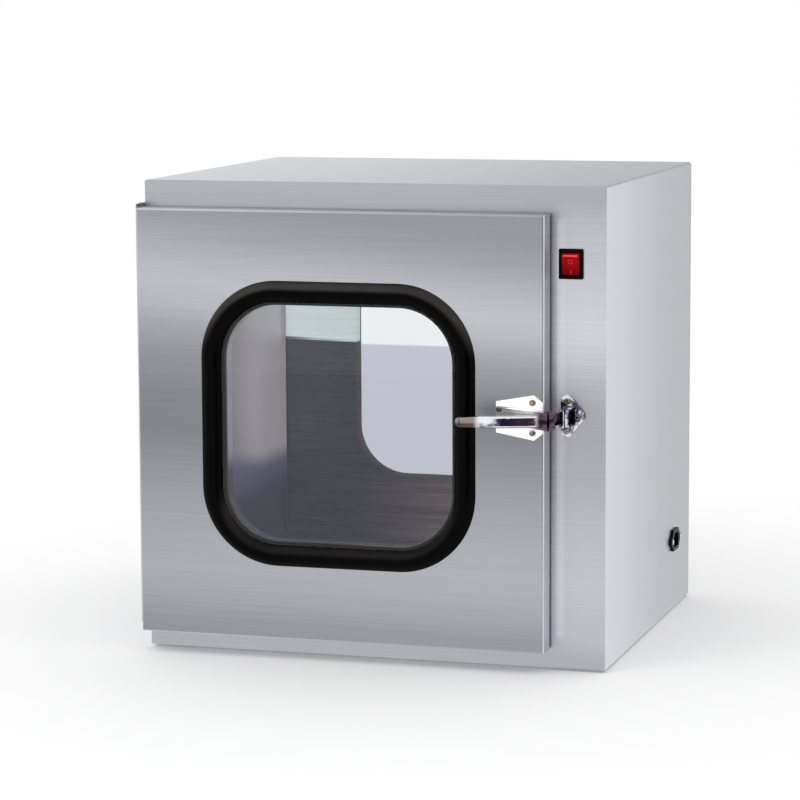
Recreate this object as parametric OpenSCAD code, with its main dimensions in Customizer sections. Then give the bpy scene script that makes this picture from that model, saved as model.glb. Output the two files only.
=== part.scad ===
// Cleanroom pass box: a sheet-steel cabinet whose chamber opens through a hinged door at each end.
// Millimetres, +Z up. X is the width, Y runs from the front door to the rear door.

/* [Cabinet] */
// Width of the cabinet
body_w = 500; // [440:1:700]
// Height of the cabinet above its feet
body_h = 500; // [460:1:700]
// Depth between the two door frames
body_d = 430; // [380:1:700]
// Thickness of the cabinet's sheet steel
sheet = 1.2; // [0.8:0.1:2]
// Outside bend radius of the cabinet's wrap
wrap_r = 3; // [2:0.5:8]
// Depth of the returns bent back from the frames and up from the base
return_d = 16; // [10:1:30]
// Height of the rubber feet
foot_h = 3; // [2:0.5:12]
// Radius of the rubber feet
foot_r = 14; // [8:1:20]
// Distance of each foot's centre from the cabinet's edges
foot_inset = 32; // [25:1:60]

/* [Chamber] */
// Space between the chamber and the cabinet's free side
chamber_free = 90; // [80:1:120]
// Space between the chamber and the cabinet's roof
chamber_roof = 54; // [50:1:90]
// Wall between the cabinet's hinge side and the chamber
chamber_side = 10; // [8:1:14]
// Height of the chamber floor above the cabinet's bottom
chamber_floor = 46; // [44:1:56]
// Inside corner radius of the chamber
chamber_r = 14; // [4:1:30]

/* [Doors] */
// Width of the frame's face beside each door
door_side = 58; // [50:1:70]
// Height of the frame's face above each door
door_top = 28; // [20:1:40]
// Height of each door's lower edge above the cabinet's bottom
door_low = 20; // [14:1:26]
// Depth of a door's pressed pan
door_t = 24; // [22:1:36]
// Gap between a door and its frame, which the seal fills
door_gap = 4; // [3:0.5:6]
// Outside bend radius of a door's edges
door_r = 2.5; // [1.5:0.5:5]
// Width of the door seal
seal_w = 7; // [4:0.5:8]
// Distance of the seal from the chamber's edge
seal_set = 1.2; // [1:0.1:2]
// Space left between the seal and the frame
seal_clear = 0.3; // [0.1:0.1:0.6]

/* [Window] */
// Distance of the window moulding from the door's hinge edge
moulding_left = 71.5; // [60:0.5:100]
// Distance of the window moulding from the door's free edge
moulding_right = 72.5; // [60:0.5:100]
// Distance of the window moulding from the door's lower edge
moulding_under = 77.8; // [60:0.1:100]
// Distance of the window moulding from the door's upper edge
moulding_over = 73.2; // [60:0.1:100]
// Width of the moulding's outer bead
bead_w = 22.5; // [18:0.5:26]
// Height of the bead above the door
bead_h = 7; // [4:0.5:10]
// Corner radius along the middle of the bead
moulding_r = 72; // [50:1:90]
// Thickness of the window glass
glass_t = 5; // [3:0.5:6]
// Thickness of the moulding's web between sheet and glass
web_t = 4; // [3:0.5:6]
// How far the inner pan's reveal stands inside the bead
reveal_in = 3; // [0:0.5:4]

/* [Hinges] */
// Radius of the hinge barrel
barrel_r = 3; // [2.5:0.1:4]
// Radius of the hinge pin
hinge_pin_r = 1.25; // [1:0.05:1.6]
// Thickness of the hinge leaves
leaf_t = 1.2; // [0.8:0.1:1.6]
// Reach of each leaf from the hinge axis
leaf_reach = 22; // [14:1:25]
// Number of knuckles, an odd number
knuckles = 17; // [9:2:31]
// Gap between neighbouring knuckles
knuckle_gap = 0.3; // [0.2:0.1:0.6]
// How far the hinge stands above the door's upper edge
hinge_over = 4; // [0:1:8]
// How far the hinge stops above the door's lower edge
hinge_under = 9; // [4:1:20]
// Radial running clearance of a pin in its bore
pin_fit = 0.05; // [0.02:0.01:0.1]

/* [Latches] */
// Height of the latch above the cabinet's bottom
latch_z = 265; // [240:1:300]
// Distance of the latch pivot from the door's outer face
pivot_out = 18; // [17:0.5:22]
// Distance of the latch pivot beyond the door's free edge
pivot_over = 8; // [7:0.5:9]
// Radius of the latch pivot pin
latch_pin_r = 2.5; // [2:0.1:3]
// Height of the lever and claw
lever_h = 12.3; // [10:0.1:14]
// Thickness of the lever seen from above
lever_t = 7; // [5:0.5:9]
// Rounding of the lever's bar
lever_edge = 2.5; // [1:0.1:3]
// Reach of the lever's tip from the pivot towards the hinge
lever_reach = 86; // [70:1:95]
// How much further out than the pivot the lever's tip stands
lever_rise = 26; // [22:1:32]
// Radius of the lever's long curve
lever_bow_r = 150; // [100:5:260]
// Radius of the lever's hub round the pivot
hub_r = 8; // [7:0.5:9]
// Thickness of the latch base plate
base_t = 2.5; // [2:0.5:3.5]
// Thickness of the cheeks that carry the pivot
cheek_t = 2.6; // [2:0.2:3.5]
// Side clearance between moving and fixed latch faces
side_fit = 0.3; // [0.2:0.05:0.5]

/* [Keepers] */
// Distance of the roller's axis from the pivot, along the door
roller_dx = 12; // [11:0.5:13]
// Distance of the roller's axis from the pivot, towards the frame
roller_dy = 22; // [20:0.5:23]
// Radius of the keeper roller
roller_r = 4; // [3.5:0.1:4.5]
// Radius of the roller's pin
roller_pin_r = 1.5; // [1:0.1:2]
// Thickness of the claw's hook
hook_t = 4.5; // [3.5:0.5:5]
// Thickness of the keeper's foot plate
keeper_t = 3; // [2:0.5:4]
// Radius of the keeper's three screw lobes
lobe_r = 6.5; // [5.5:0.5:7.5]

/* [Screws] */
// Radius of the latch and keeper screws' shanks
screw_r = 1.9; // [1.5:0.1:2.2]
// Radius of the latch and keeper screws' heads
screw_head_r = 3.3; // [3:0.1:4]
// Height of the screw heads
screw_head_h = 1.8; // [1.2:0.1:2.5]
// Radial clearance round a screw's shank
screw_fit = 0.2; // [0.1:0.05:0.4]

/* [Switch] */
// Width of the switch bezel
bezel_w = 25.5; // [22:0.5:30]
// Height of the switch bezel
bezel_h = 31; // [28:0.5:36]
// Thickness of the switch bezel
bezel_t = 2; // [1.5:0.1:3]
// Distance of the switch's centre from the cabinet's free side
switch_side = 36.7; // [30:0.1:40]
// Distance of the switch's centre below the cabinet's roof
switch_drop = 79.5; // [60:0.5:120]
// Width of the rocker
rocker_w = 17.9; // [14:0.1:19]
// Radius of the rocker's rounded ends about its pivot
rocker_r = 11.9; // [10:0.1:12.5]
// Tilt of the rocker each way from level
rocker_tilt = 12; // [8:1:14]

/* [Power inlet] */
// Distance of the inlet's centre behind the front frame
inlet_y = 345; // [300:1:370]
// Height of the inlet's centre
inlet_z = 78; // [60:1:120]
// Distance between the inlet's two screws
inlet_pitch = 40; // [38:0.5:42]
// Thickness of the inlet's flange
inlet_flange_t = 3; // [2:0.5:4]
// Depth of the inlet's socket
socket_d = 15; // [12:0.5:18]

/* [Lamp] */
// Length of the lamp tube between its caps
lamp_len = 272; // [200:1:300]
// Radius of the lamp tube
lamp_r = 8; // [6:0.5:9]
// Drop of the lamp tube's axis below the chamber's ceiling
lamp_drop = 34; // [30:1:45]
// Width of the lamp's bracket
lamp_bracket_w = 34; // [28:1:50]

/* [Interlock] */
// Radius of the interlock shaft
shaft_r = 4; // [3:0.5:5]
// Distance of the shaft beyond the chamber's edge
shaft_side = 18; // [17:0.5:18.5]
// Height of the interlock shaft
shaft_z = 150; // [120:1:220]
// Length of the shaft's locking heads
head_len = 26; // [22:1:28]
// Width of the locking heads
head_w = 6; // [5:0.5:6.5]
// Thickness of the locking heads
head_t = 3; // [2:0.5:4]
// How deep each head stands inside its door
head_in = 4; // [3:0.5:6]

/* [Hidden] */

$fn = 64;
eps = 0.01;

// Cabinet sides, seen from the front: the hinges are at x_hinge, the free side at x_free
x_hinge = -body_w / 2;
x_free = body_w / 2;
// Chamber
chamber_w = body_w - chamber_side - chamber_free;
chamber_h = body_h - chamber_floor - chamber_roof;
ch_x0 = x_hinge + chamber_side;
ch_x1 = ch_x0 + chamber_w;
ch_z0 = chamber_floor;
ch_z1 = ch_z0 + chamber_h;
ch_cx = (ch_x0 + ch_x1) / 2;
ch_cz = (ch_z0 + ch_z1) / 2;
// Front door, with its outer face at y_out and its back at y_back
door_w = body_w - door_side;
door_h = body_h - door_low - door_top;
door_x1 = x_hinge + door_w;
door_z1 = door_low + door_h;
y_back = -door_gap;
y_out = -door_gap - door_t;
// Window moulding, over all and along the middle of its bead
moulding_w = door_w - moulding_left - moulding_right;
moulding_h = door_h - moulding_under - moulding_over;
path_w = moulding_w - bead_w;
path_h = moulding_h - bead_w;
win_x = x_hinge + moulding_left + moulding_w / 2;
win_z = door_low + moulding_under + moulding_h / 2;
rear_bead = 4;
reveal_u = -bead_w / 2 - reveal_in;
reveal_gap = 0.3;
glass_fit = 0.2;
// Hinge
hinge_x = x_hinge - barrel_r - 0.2;
hinge_y = -door_gap / 2;
hinge_z0 = door_low + hinge_under;
hinge_z1 = door_z1 + hinge_over;
knuckle_len = (hinge_z1 - hinge_z0) / knuckles;
// Latch pivot, roller and lever tip
piv_x = door_x1 + pivot_over;
piv_y = y_out - pivot_out;
rol_x = piv_x + roller_dx;
rol_y = piv_y + roller_dy;
hook_gap = 0.35;
tip_flare = 0.6;
cheek_in = lever_h / 2 + side_fit;
cheek_out = cheek_in + cheek_t;
// Upper half of the latch plate, and its screws, measured from the door's free edge and the latch
plate_points = [[-50, 16], [-10, 23.3], [-1, 16]];
plate_screws = [[-11.5, 15.6], [-46.4, 7.8]];
cheek_start = plate_screws[1][0] + screw_head_r + 0.5;
keeper_lobes = [[-2.4, 14.5], [-2.4, -16], [10, -0.3]];
// Switch
sw_x = x_free - switch_side;
switch_z = body_h - switch_drop;
sw_open_w = rocker_w + 0.6;
sw_open_h = 2 * (rocker_r + 0.3);
sw_body_w = sw_open_w + 3;
sw_body_h = sw_open_h + 3.6;
sw_depth = 20;
rocker_pivot = 3;
trunnion_r = 1.5;
trunnion_len = 1.2;
// Inlet
in_body_w = 27;
in_body_h = 20;
in_body_d = socket_d + 6;
in_ear_r = 5;
in_screw_r = 1.5;
in_screw_head_r = 2.8;
in_screw_head_h = 1.5;
// Lamp and ballast
cap_len = 8;
pin_len = 7;
holder_t = 9;
bracket_h = 14;
bracket_t = 1;
lamp_z = ch_z1 - lamp_drop;
ballast_size = [150, 40, 28];
ballast_y = 150;
ballast_ear = 14;
// Interlock
shaft_x = ch_x1 + shaft_side;
slot_fit = 1.5;
guide_t = 8;
guide_r = 11;
// The frame of reference is centred on the overall width, from the hinge barrel to the inlet's screws
left_most = hinge_x - barrel_r;
right_most = x_free + inlet_flange_t + in_screw_head_h;
shift_x = -(left_most + right_most) / 2;

// ---------- helpers ----------
module placed() translate([shift_x, -body_d / 2, foot_h]) children();
module at_rear() translate([0, body_d, 0]) mirror([0, 1, 0]) children();

// A flat shape drawn in X and Z, from y0 to y0 + t
module plate_y(y0, t) translate([0, y0 + t, 0]) rotate([90, 0, 0]) linear_extrude(t) children();

module rrect(w, h, r) {
    square([w - 2 * r, h], center = true);
    square([w, h - 2 * r], center = true);
    for (x = [-1, 1], y = [-1, 1]) translate([x * (w / 2 - r), y * (h / 2 - r)]) circle(r);
}

// Sweeps a profile round a rounded rectangle. The profile's first axis points outwards and its
// second along +Z, and the path is where its first axis is zero.
module ring_sweep(w, h, r) {
    for (a = [0, 90, 180, 270]) {
        along = (a % 180 == 0) ? h - 2 * r : w - 2 * r;
        out = (a % 180 == 0) ? w / 2 : h / 2;
        side = (a % 180 == 0) ? h / 2 : w / 2;
        rotate(a) translate([out, 0, 0]) rotate([90, 0, 0])
            linear_extrude(along, center = true) children();
        rotate(a) translate([out - r, side - r, 0]) rotate_extrude(angle = 90)
            translate([r, 0]) children();
    }
}

// Turns a shape made in X and Y, with +Z outwards, to stand on the plane y
module facing_front(x, y, z) translate([x, y, z]) rotate([90, 0, 0]) children();

// A pan open at the back, with bent front edges: w by h outside, t deep, its front at y = 0
module bent_block(x0, x1, z0, z1, y0, y1, r) {
    intersection() {
        translate([0, 0, z0]) linear_extrude(z1 - z0) bent_profile(x0, x1, y0, y1, r);
        translate([x1, 0, 0]) rotate([0, -90, 0]) linear_extrude(x1 - x0)
            bent_profile(z0, z1, y0, y1, r);
    }
}
module bent_profile(a0, a1, y0, y1, r) {
    translate([a0, y0 + r]) square([a1 - a0, y1 - y0 - r]);
    translate([a0 + r, y0]) square([a1 - a0 - 2 * r, r + eps]);
    for (a = [a0 + r, a1 - r]) translate([a, y0 + r]) circle(r);
}

// A pan-head screw whose head's underside is at the origin and whose shank runs along -Z
module screw(r, head_r, head_h, len) {
    difference() {
        union() {
            cylinder(r = head_r, h = head_h * 0.55);
            translate([0, 0, head_h * 0.55])
                cylinder(r1 = head_r, r2 = head_r * 0.72, h = head_h * 0.45);
        }
        for (a = [0, 90]) rotate(a) translate([0, 0, head_h])
            cube([head_r * 1.2, head_r * 0.24, head_h * 0.9], center = true);
    }
    translate([0, 0, -len]) cylinder(r = r, h = len);
}

// ---------- cabinet ----------
module wrap_outline(inset) {
    r = wrap_r - min(inset, wrap_r - 0.5);
    w = body_w - 2 * inset;
    top = body_h - inset;
    translate([-w / 2, 0]) square([w, top - r]);
    translate([-w / 2 + r, top - r - eps]) square([w - 2 * r, r + eps]);
    for (x = [-1, 1]) translate([x * (w / 2 - r), top - r]) circle(r);
}

module inlet_cut() {
    cube([4 * sheet + 4, in_body_w + 0.6, in_body_h + 0.6], center = true);
    for (s = [-1, 1]) translate([0, s * inlet_pitch / 2, 0]) rotate([0, 90, 0])
        cylinder(r = in_screw_r + screw_fit, h = 4 * sheet + 4, center = true);
}

module outer_shell() {
    color([0.80, 0.81, 0.83]) difference() {
        plate_y(0, body_d) wrap_outline(0);
        plate_y(-1, body_d + 2) wrap_outline(sheet);
        plate_y(-1, body_d + 2) translate([-body_w / 2 + sheet, -1]) square([body_w - 2 * sheet, 3]);
        translate([x_free, inlet_y, inlet_z]) inlet_cut();
    }
}

module base_pan() {
    x1 = body_w / 2 - sheet;
    color([0.74, 0.75, 0.77]) difference() {
        translate([-x1, sheet, 0]) cube([2 * x1, body_d - 2 * sheet, return_d]);
        translate([-x1 + sheet, 2 * sheet, sheet])
            cube([2 * (x1 - sheet), body_d - 4 * sheet, return_d]);
    }
}

// The frame's flat face with its bent-back edge, at the front end
module frame_body() {
    x1 = body_w / 2 - sheet;
    difference() {
        union() {
            plate_y(0, sheet) difference() {
                wrap_outline(sheet);
                translate([ch_cx, ch_cz]) rrect(chamber_w, chamber_h, chamber_r);
            }
            plate_y(sheet - eps, return_d - sheet) intersection() {
                difference() {
                    wrap_outline(sheet);
                    wrap_outline(2 * sheet);
                }
                translate([-x1, return_d + sheet]) square([2 * x1, body_h]);
            }
        }
        translate([shaft_x, 0, shaft_z]) shaft_slot();
        for (p = keeper_lobes) translate([rol_x + p[0], 0, latch_z + p[1]]) rotate([90, 0, 0])
            cylinder(r = screw_r + screw_fit, h = 6, center = true);
    }
}

module shaft_slot() rotate([90, 0, 0]) linear_extrude(4 * sheet + 2, center = true)
    square([head_w + 2 * slot_fit, head_len + 2 * slot_fit], center = true);

module front_frame() {
    color([0.80, 0.81, 0.83]) difference() {
        frame_body();
        translate([sw_x, 0, switch_z]) cube([sw_body_w + 0.4, 6 * sheet, sw_body_h + 0.4], center = true);
    }
}

module rear_frame() color([0.80, 0.81, 0.83]) at_rear() frame_body();

module chamber_liner() {
    color([0.72, 0.72, 0.74]) translate([ch_cx, 0, ch_cz]) difference() {
        plate_y(sheet, body_d - 2 * sheet) difference() {
            rrect(chamber_w + 2 * sheet, chamber_h + 2 * sheet, chamber_r + sheet);
            rrect(chamber_w, chamber_h, chamber_r);
        }
        translate([0, body_d / 2, chamber_h / 2]) for (s = [-1, 1])
            translate([s * lamp_len / 4, 0, 0]) cylinder(r = 2.2, h = 4 * sheet, center = true);
        translate([0, body_d / 2, chamber_h / 2]) cylinder(r = 5, h = 4 * sheet, center = true);
    }
}

module feet() {
    color([0.12, 0.12, 0.13]) for (x = [-1, 1], y = [foot_inset, body_d - foot_inset])
        translate([x * (body_w / 2 - foot_inset), y, -foot_h]) {
            cylinder(r1 = foot_r - 1, r2 = foot_r, h = foot_h * 0.4);
            translate([0, 0, foot_h * 0.4 - eps]) cylinder(r = foot_r, h = foot_h * 0.6 + eps);
        }
}

// ---------- lamp ----------
lamp_y = body_d / 2;
lamp_half = lamp_len / 2 + cap_len + pin_len;

module lamp_bracket() {
    len = 2 * (lamp_half + holder_t / 2);
    color([0.86, 0.87, 0.88]) translate([ch_cx, lamp_y, ch_z1]) difference() {
        translate([-len / 2, -lamp_bracket_w / 2, -bracket_h]) cube([len, lamp_bracket_w, bracket_h]);
        translate([-len / 2 - 1, -lamp_bracket_w / 2 + bracket_t, -bracket_h + bracket_t])
            cube([len + 2, lamp_bracket_w - 2 * bracket_t, bracket_h - 2 * bracket_t]);
        for (s = [-1, 1]) translate([s * lamp_len / 4, 0, 0])
            cylinder(r = 2.2, h = 4 * bracket_t, center = true);
        cylinder(r = 5, h = 4 * bracket_t, center = true);
    }
}

module lamp_tube() color([0.95, 0.96, 0.98]) translate([ch_cx, lamp_y, lamp_z]) rotate([0, 90, 0])
    cylinder(r = lamp_r, h = lamp_len, center = true);

module lamp_end_caps() {
    color([0.75, 0.76, 0.78]) translate([ch_cx, lamp_y, lamp_z]) for (s = [0, 180]) rotate([0, 0, s])
        translate([lamp_len / 2, 0, 0]) rotate([0, 90, 0]) {
            cylinder(r = lamp_r - 0.4, h = cap_len);
            for (t = [-1, 1]) translate([0, t * 2.4, cap_len - eps]) cylinder(r = 1.1, h = pin_len);
        }
}

module lamp_holders() {
    holder_top = lamp_drop - bracket_h;
    color([0.93, 0.93, 0.92]) translate([ch_cx, lamp_y, lamp_z]) for (s = [0, 180]) rotate([0, 0, s])
        translate([lamp_len / 2 + cap_len + side_fit, 0, 0]) difference() {
            union() {
                rotate([0, 90, 0]) cylinder(r = lamp_r + 2, h = holder_t);
                translate([0, -lamp_r - 2, 0]) cube([holder_t, 2 * lamp_r + 4, holder_top]);
            }
            for (t = [-1, 1]) translate([-1, t * 2.4, 0]) rotate([0, 90, 0])
                cylinder(r = 1.3, h = pin_len + 1.2);
        }
}

module lamp_screws() {
    color([0.6, 0.6, 0.62]) translate([ch_cx, lamp_y, ch_z1 - bracket_t]) for (s = [-1, 1])
        translate([s * lamp_len / 4, 0, 0]) rotate([180, 0, 0]) screw(2, 3.8, 2.2, 7);
}

module ballast() {
    color([0.90, 0.90, 0.88]) translate([ch_cx, ballast_y, ch_z1 + sheet]) difference() {
        union() {
            translate([-ballast_size[0] / 2, -ballast_size[1] / 2, 0]) cube(ballast_size);
            translate([-ballast_size[0] / 2 - ballast_ear, -ballast_size[1] / 2, 0])
                cube([ballast_size[0] + 2 * ballast_ear, ballast_size[1], 2]);
        }
        for (s = [-1, 1]) translate([s * (ballast_size[0] + ballast_ear) / 2, 0, -1])
            cylinder(r = 2.2, h = 4);
    }
}

module ballast_screws() {
    color([0.6, 0.6, 0.62]) translate([ch_cx, ballast_y, ch_z1 + sheet + 2]) for (s = [-1, 1])
        translate([s * (ballast_size[0] + ballast_ear) / 2, 0, 0]) screw(2, 3.8, 2.2, 2);
}

// ---------- switch ----------
module switch_housing() {
    color([0.05, 0.05, 0.05]) translate([sw_x, 0, switch_z]) difference() {
        union() {
            plate_y(-bezel_t, bezel_t) rrect(bezel_w, bezel_h, 1.2);
            plate_y(-eps, sw_depth) rrect(sw_body_w, sw_body_h, 0.8);
        }
        plate_y(-bezel_t - 1, bezel_t + 1 + rocker_pivot + rocker_r + 1) rrect(sw_open_w, sw_open_h, 0.4);
        translate([0, rocker_pivot, 0]) rotate([0, 90, 0])
            cylinder(r = trunnion_r + pin_fit, h = sw_open_w + 2 * trunnion_len + 0.4, center = true);
    }
}

// The rocker rests with its lower half pressed. A point (z, out) of its side outline is drawn as (x, y).
module switch_rocker() {
    dish = bezel_t + rocker_pivot + 0.2;
    rise = rocker_r * tan(rocker_tilt);
    color([0.75, 0.03, 0.05]) translate([sw_x, rocker_pivot, switch_z])
        rotate([rocker_tilt, 0, 0]) rotate([0, 90, 0]) {
            linear_extrude(rocker_w, center = true) rotate(180) intersection() {
                circle(rocker_r);
                polygon([[rocker_r, dish + rise], [0, dish], [-rocker_r, dish + rise],
                    [-rocker_r, 0], [-rocker_r / 3, -rocker_r / 2], [rocker_r / 3, -rocker_r / 2],
                    [rocker_r, 0]]);
            }
            cylinder(r = trunnion_r, h = rocker_w + 2 * trunnion_len, center = true);
        }
}

module switch_terminals() {
    color([0.80, 0.70, 0.40]) for (x = [-1, 1], z = [-1, 1])
        translate([sw_x + x * 5, (sw_depth + sw_back) / 2, switch_z + z * 7])
            cube([0.8, sw_back - sw_depth, 6.3], center = true);
}

// ---------- power inlet ----------
module socket_outline(w, h) {
    c = h * 0.28;
    polygon([[-w / 2, -h / 2], [w / 2, -h / 2], [w / 2, h / 2 - c], [w / 2 - c, h / 2],
        [-w / 2 + c, h / 2], [-w / 2, h / 2 - c]]);
}

// Turns a shape made in X and Y, with +Z outwards, to stand on the cabinet's free side
module on_side() translate([x_free, inlet_y, inlet_z]) rotate([90, 0, 90]) children();

module inlet_housing() {
    w = in_body_w;
    h = in_body_h;
    color([0.06, 0.06, 0.06]) on_side() difference() {
        union() {
            linear_extrude(inlet_flange_t) {
                rrect(w + 3, h + 4, 3);
                polygon([[-inlet_pitch / 2, in_ear_r], [-w / 2, h / 2 + 1], [w / 2, h / 2 + 1],
                    [inlet_pitch / 2, in_ear_r], [inlet_pitch / 2, -in_ear_r], [w / 2, -h / 2 - 1],
                    [-w / 2, -h / 2 - 1], [-inlet_pitch / 2, -in_ear_r]]);
                for (s = [-1, 1]) translate([s * inlet_pitch / 2, 0]) circle(in_ear_r);
            }
            translate([0, 0, -in_body_d]) linear_extrude(in_body_d + eps) rrect(w, h, 2);
        }
        translate([0, 0, inlet_flange_t - socket_d]) linear_extrude(socket_d + 1)
            socket_outline(w - 3, h - 4);
        for (s = [-1, 1]) translate([s * inlet_pitch / 2, 0, -1])
            cylinder(r = in_screw_r + screw_fit, h = inlet_flange_t + 2);
        for (p = inlet_pin_at) translate([p[0], p[1], -in_body_d - 1]) linear_extrude(in_body_d)
            square([p[2] + 0.1, p[3] + 0.1], center = true);
    }
}
inlet_pin_at = [[-7, -2, 2, 4], [7, -2, 2, 4], [0, 2, 2, 4]];

module inlet_pins() {
    color([0.78, 0.76, 0.70]) on_side() for (p = inlet_pin_at)
        translate([p[0], p[1], -in_body_d - 8]) linear_extrude(in_body_d + 6)
            square([p[2], p[3]], center = true);
}

module inlet_screws() {
    color([0.6, 0.6, 0.62]) on_side() for (s = [-1, 1])
        translate([s * inlet_pitch / 2, 0, inlet_flange_t])
            screw(in_screw_r, in_screw_head_r, in_screw_head_h, inlet_flange_t + 7);
}

// ---------- wiring ----------
// Each run is a sleeved bundle that bends at its points
wire_r = 2.2;
sw_back = sw_depth + 10;
in_back = x_free - in_body_d - 8;
roof_z = ch_z1 + (body_h - ch_z1) * 0.6;
wire_gap = wire_r + 0.3;
duct_y = 60;
wire_turn = 14;
wire_drop = 40;
pole_x = 5;
pole_z = 7;
feed_x = ch_cx + ballast_size[0] / 2 + wire_turn + 8;
feed_z = ch_z1 + 16;
supply_run = [[in_back - wire_gap, inlet_y, inlet_z], [in_back - wire_turn, inlet_y, inlet_z],
    [in_back - wire_turn, inlet_y, roof_z - wire_drop], [sw_x + pole_x, duct_y, roof_z - wire_drop],
    [sw_x + pole_x, duct_y, switch_z - pole_z], [sw_x + pole_x, sw_back + wire_gap, switch_z - pole_z]];
lamp_run = [[sw_x - pole_x, sw_back + wire_gap, switch_z + pole_z],
    [sw_x - wire_turn, duct_y - wire_turn, switch_z + 2 * pole_z], [sw_x - wire_turn, duct_y + 10, roof_z],
    [feed_x, ballast_y - duct_y, roof_z], [feed_x, ballast_y, feed_z],
    [ch_cx + ballast_size[0] / 2 + wire_gap, ballast_y, feed_z]];
tube_run = [[ch_cx, ballast_y + ballast_size[1] / 2 + wire_gap, feed_z],
    [ch_cx, lamp_y, feed_z], [ch_cx, lamp_y, ch_z1 - bracket_h + bracket_t + wire_gap]];

module wire(run, r) {
    for (i = [0 : len(run) - 2]) hull() {
        translate(run[i]) sphere(r, $fn = 8);
        translate(run[i + 1]) sphere(r, $fn = 8);
    }
}

module wiring_harness() {
    color([0.15, 0.15, 0.16]) {
        wire(supply_run, wire_r);
        wire(lamp_run, wire_r);
        wire(tube_run, wire_r);
    }
}

// ---------- interlock ----------
// A turning shaft carries a cross-head at each end. Turned either way, one head locks in its door.
module shaft_head() {
    y = y_back - head_in - sheet - head_t;
    translate([shaft_x, y, shaft_z]) {
        translate([-head_w / 2, 0, -head_len / 2]) cube([head_w, head_t, head_len]);
        translate([0, head_t - eps, 0]) rotate([-90, 0, 0])
            cylinder(r = head_w / 2, h = -y - head_t + sheet + guide_t + 2 * eps);
    }
}

module interlock_shaft() {
    color([0.70, 0.71, 0.73]) {
        shaft_head();
        at_rear() shaft_head();
        translate([shaft_x, sheet + guide_t, shaft_z]) rotate([-90, 0, 0])
            cylinder(r = shaft_r, h = body_d - 2 * (sheet + guide_t));
    }
}

module shaft_guide() translate([shaft_x, sheet, shaft_z]) rotate([-90, 0, 0]) difference() {
    union() {
        cylinder(r = guide_r, h = guide_t - side_fit);
        translate([-guide_r, -head_len / 2 - 6, 0]) cube([2 * guide_r, head_len + 12, 3]);
    }
    translate([0, 0, -1]) cylinder(r = head_w / 2 + pin_fit, h = guide_t + 2);
}

module interlock_guides() color([0.92, 0.92, 0.90]) {
    shaft_guide();
    at_rear() shaft_guide();
}

// ---------- hinges ----------
module knuckle_row(first) {
    for (i = [first : 2 : knuckles - 1])
        translate([hinge_x, hinge_y, hinge_z0 + i * knuckle_len + knuckle_gap / 2])
            cylinder(r = barrel_r, h = knuckle_len - knuckle_gap);
}

module hinge_bore() translate([hinge_x, hinge_y, hinge_z0 - 1])
    cylinder(r = hinge_pin_r + pin_fit, h = hinge_z1 - hinge_z0 + 2);

module leaf(first, side) {
    h = hinge_z1 - hinge_z0 - knuckle_gap;
    y_near = hinge_y + side * (barrel_r * 0.42);
    y_far = hinge_y + side * leaf_reach;
    y_plate = hinge_y + side * (barrel_r + 0.6);
    difference() {
        union() {
            translate([x_hinge - leaf_t, min(y_plate, y_far), hinge_z0 + knuckle_gap / 2])
                cube([leaf_t, abs(y_far - y_plate), h]);
            for (i = [first : 2 : knuckles - 1])
                translate([x_hinge - leaf_t, min(y_near, y_plate + side * eps),
                    hinge_z0 + i * knuckle_len + knuckle_gap / 2])
                    cube([leaf_t, abs(y_plate - y_near) + eps, knuckle_len - knuckle_gap]);
            knuckle_row(first);
        }
        hinge_bore();
    }
}

module hinge_pin() translate([hinge_x, hinge_y, hinge_z0])
    cylinder(r = hinge_pin_r, h = hinge_z1 - hinge_z0);

module front_hinge_frame_leaf() color([0.68, 0.69, 0.71]) leaf(0, 1);
module rear_hinge_frame_leaf() color([0.68, 0.69, 0.71]) at_rear() leaf(0, 1);
module front_hinge_door_leaf() color([0.68, 0.69, 0.71]) leaf(1, -1);
module rear_hinge_door_leaf() color([0.68, 0.69, 0.71]) at_rear() leaf(1, -1);
module hinge_pins() color([0.62, 0.63, 0.65]) {
    hinge_pin();
    at_rear() hinge_pin();
}

// ---------- door ----------
module door_skin() {
    difference() {
        bent_block(x_hinge, door_x1, door_low, door_z1, y_out, y_back, door_r);
        bent_block(x_hinge + sheet, door_x1 - sheet, door_low + sheet, door_z1 - sheet,
            y_out + sheet, y_back + 1, door_r - sheet);
        translate([win_x, 0, win_z]) plate_y(y_out - 1, sheet + 2)
            rrect(path_w + web_t, path_h + web_t, moulding_r + web_t / 2);
        for (p = plate_screws, s = [-1, 1]) translate([door_x1 + p[0], y_out, latch_z + s * p[1]])
            rotate([90, 0, 0]) cylinder(r = screw_r + screw_fit, h = 4 * sheet, center = true);
    }
}

module door_inner_pan() {
    reveal_w = path_w + 2 * reveal_u;
    reveal_h = path_h + 2 * reveal_u;
    reveal_r = moulding_r + reveal_u;
    reveal_front = y_out + max(glass_t + rear_bead, sheet) + reveal_gap;
    x0 = x_hinge + sheet;
    x1 = door_x1 - sheet;
    z0 = door_low + sheet;
    z1 = door_z1 - sheet;
    fold = 10;
    difference() {
        union() {
            translate([x0, y_back - sheet, z0]) cube([x1 - x0, sheet, z1 - z0]);
            difference() {
                translate([x0, y_back - sheet - fold, z0]) cube([x1 - x0, fold + eps, z1 - z0]);
                translate([x0 + sheet, y_back - sheet - fold - 1, z0 + sheet])
                    cube([x1 - x0 - 2 * sheet, fold + 2, z1 - z0 - 2 * sheet]);
            }
            translate([win_x, 0, win_z]) plate_y(reveal_front, y_back - sheet - reveal_front + eps)
                rrect(reveal_w + 2 * sheet, reveal_h + 2 * sheet, reveal_r + sheet);
        }
        translate([win_x, 0, win_z]) plate_y(y_out, door_t + 2) rrect(reveal_w, reveal_h, reveal_r);
        translate([shaft_x, y_back, shaft_z]) shaft_slot();
    }
}

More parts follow.
